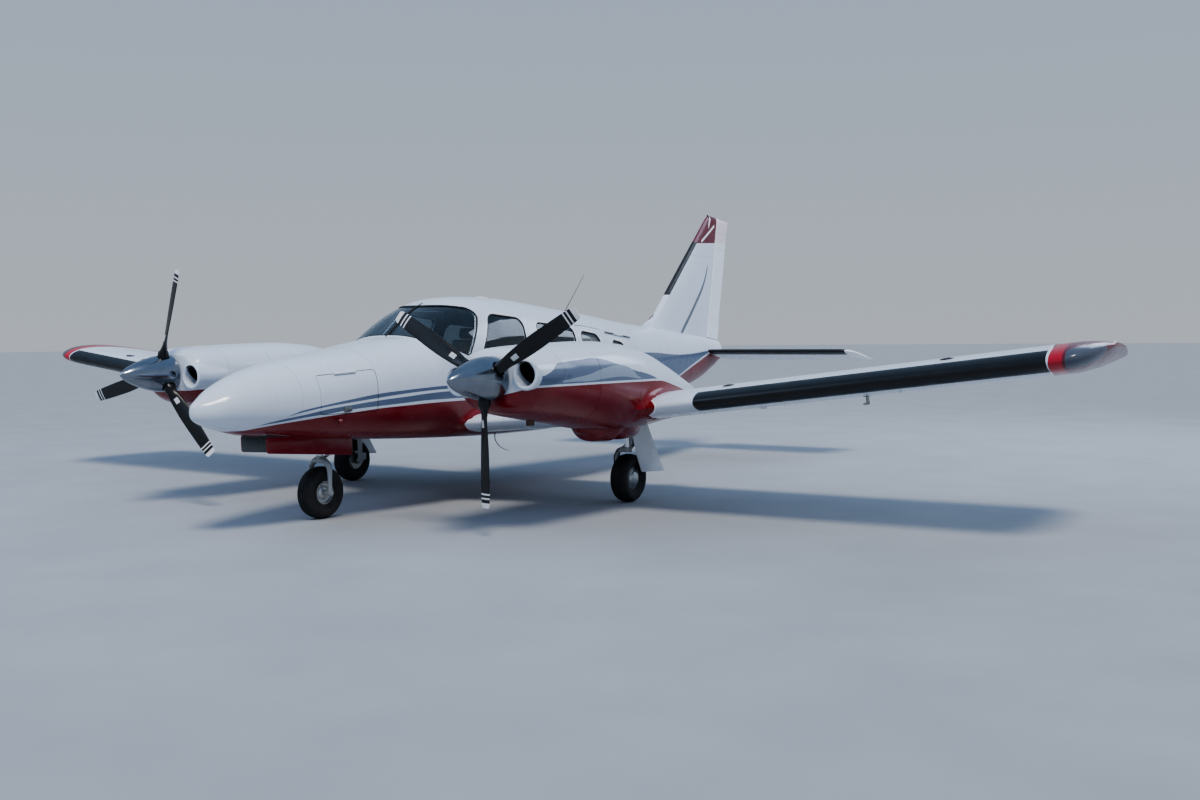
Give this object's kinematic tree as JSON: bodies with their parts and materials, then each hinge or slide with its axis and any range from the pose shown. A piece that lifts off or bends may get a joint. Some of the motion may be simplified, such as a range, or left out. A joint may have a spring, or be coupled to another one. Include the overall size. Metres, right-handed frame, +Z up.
{
  "type": "twin piston aircraft",
  "caption": "Low-wing light twin with tractor propellers on wing nacelles, club-seat cabin, swept fin, one-piece tailplane and tricycle gear; doors, controls, wheels and propellers move.",
  "frame": {"origin": "on the ground under the middle of the bounding box: mid span, halfway from nose tip to rudder trailing edge", "axes": "+X to the port wing tip, +Y aft, +Z up; the nose points along -Y"},
  "size_m": [11.6068, 8.72, 3.02],
  "materials": {
    "white_paint": "gloss",
    "red_paint": "gloss",
    "polished_metal": "polished",
    "black_blade": "satin",
    "tyre": "matt",
    "gear_metal": "satin",
    "window": "gloss",
    "cabin_trim": "matt",
    "seat_cover": "satin"
  },
  "bodies": {
    "airframe": {"nose_cone": "white_paint", "nose_section": "white_paint", "cabin_shell": "white_paint", "fin": "white_paint", "tail_cone": "white_paint", "windshield": "window", "window_left_front": "window", "window_left_mid": "window", "window_right_mid": "window", "window_right_rear": "window", "window_right_aft": "window", "cabin_floor": "cabin_trim", "instrument_panel": "cabin_trim", "seats_front": "seat_cover", "seats_middle": "seat_cover", "seats_rear": "seat_cover", "nose_gear_door_left": "red_paint", "nose_gear_door_right": "red_paint", "nose_leg": "gear_metal", "wing_left": "white_paint", "cowl_left": "white_paint", "nacelle_left": "white_paint", "main_gear_door_left": "white_paint", "wingtip_left": "red_paint", "engine_left": "gear_metal", "main_leg_left": "gear_metal", "wing_right": "white_paint", "cowl_right": "white_paint", "nacelle_right": "white_paint", "main_gear_door_right": "white_paint", "wingtip_right": "red_paint", "engine_right": "gear_metal", "main_leg_right": "gear_metal"},
    "nose_door": {"nose_door": "white_paint"},
    "front_door": {"front_door": "white_paint", "front_door_window": "window"},
    "rear_door": {"rear_door": "white_paint", "rear_door_window": "window"},
    "cargo_door": {"cargo_door": "white_paint", "cargo_door_window": "window"},
    "rudder": {"rudder": "white_paint"},
    "stabilator": {"stabilator": "white_paint", "stabilator_tab": "white_paint"},
    "nose_fork": {"nose_fork": "gear_metal"},
    "nose_wheel": {"nose_tyre": "tyre", "nose_rim": "gear_metal"},
    "flap_left": {"flap_left": "white_paint"},
    "aileron_left": {"aileron_left": "white_paint"},
    "propeller_left": {"propeller_left": "black_blade", "spinner_left": "polished_metal"},
    "main_wheel_left": {"main_left_tyre": "tyre", "main_left_rim": "gear_metal"},
    "flap_right": {"flap_right": "white_paint"},
    "aileron_right": {"aileron_right": "white_paint"},
    "propeller_right": {"propeller_right": "black_blade", "spinner_right": "polished_metal"},
    "main_wheel_right": {"main_right_tyre": "tyre", "main_right_rim": "gear_metal"}
  },
  "joints": [
    {"name": "nose_door_hinge", "type": "hinge", "parent": "airframe", "child": "nose_door", "pos_m": [0.35219, -3.45347, 1.19225], "axis": [-0.2075, -0.9756, -0.071], "range_deg": [0, 85]},
    {"name": "front_door_hinge", "type": "hinge", "parent": "airframe", "child": "front_door", "pos_m": [-0.6302, -1.7625, 0.96], "axis": [0.0002, 0, 1], "range_deg": [0, 58]},
    {"name": "rear_door_hinge", "type": "hinge", "parent": "airframe", "child": "rear_door", "pos_m": [0.63744, -0.0955, 0.95988], "axis": [-0.0086, 0, -1], "range_deg": [0, 75]},
    {"name": "cargo_door_hinge", "type": "hinge", "parent": "airframe", "child": "cargo_door", "pos_m": [0.53425, 0.47125, 1.52737], "axis": [0.0869, -0.9911, 0.1007], "range_deg": [0, 80]},
    {"name": "rudder_hinge", "type": "hinge", "parent": "airframe", "child": "rudder", "pos_m": [0, 3.742, 1.48], "axis": [0, 0.1907, 0.9817], "range_deg": [-35, 35]},
    {"name": "stabilator_hinge", "type": "hinge", "parent": "airframe", "child": "stabilator", "pos_m": [0, 3.69, 1.252], "axis": [1, 0, 0], "range_deg": [0, 21.5]},
    {"name": "nose_steering", "type": "hinge", "parent": "airframe", "child": "nose_fork", "pos_m": [0, -3.075, 0.5], "axis": [0, 0, 1], "range_deg": [-27, 27]},
    {"name": "nose_wheel_spin", "type": "hinge", "parent": "nose_fork", "child": "nose_wheel", "pos_m": [0, -3.075, 0.215], "axis": [1, 0, 0], "continuous": true},
    {"name": "flap_left_hinge", "type": "hinge", "parent": "airframe", "child": "flap_left", "pos_m": [0.74169, -0.388, 0.67983], "axis": [-0.9923, 0, -0.1236], "range_deg": [0, 40]},
    {"name": "aileron_left_hinge", "type": "hinge", "parent": "airframe", "child": "aileron_left", "pos_m": [3.05895, -0.365, 0.96708], "axis": [0.9923, 0, 0.1236], "range_deg": [-20, 35]},
    {"name": "propeller_left_spin", "type": "hinge", "parent": "airframe", "child": "propeller_left", "pos_m": [1.83, -3.22, 1.18], "axis": [0, 1, 0], "continuous": true},
    {"name": "main_wheel_left_spin", "type": "hinge", "parent": "airframe", "child": "main_wheel_left", "pos_m": [1.69, -0.96, 0.215], "axis": [1, 0, 0], "continuous": true},
    {"name": "flap_right_hinge", "type": "hinge", "parent": "airframe", "child": "flap_right", "pos_m": [-0.74169, -0.388, 0.67983], "axis": [-0.9923, 0, 0.1236], "range_deg": [0, 40]},
    {"name": "aileron_right_hinge", "type": "hinge", "parent": "airframe", "child": "aileron_right", "pos_m": [-3.05895, -0.365, 0.96708], "axis": [0.9923, 0, -0.1236], "range_deg": [-20, 35]},
    {"name": "propeller_right_spin", "type": "hinge", "parent": "airframe", "child": "propeller_right", "pos_m": [-1.83, -3.22, 1.18], "axis": [0, 1, 0], "continuous": true},
    {"name": "main_wheel_right_spin", "type": "hinge", "parent": "airframe", "child": "main_wheel_right", "pos_m": [-1.69, -0.96, 0.215], "axis": [1, 0, 0], "continuous": true}
  ]
}
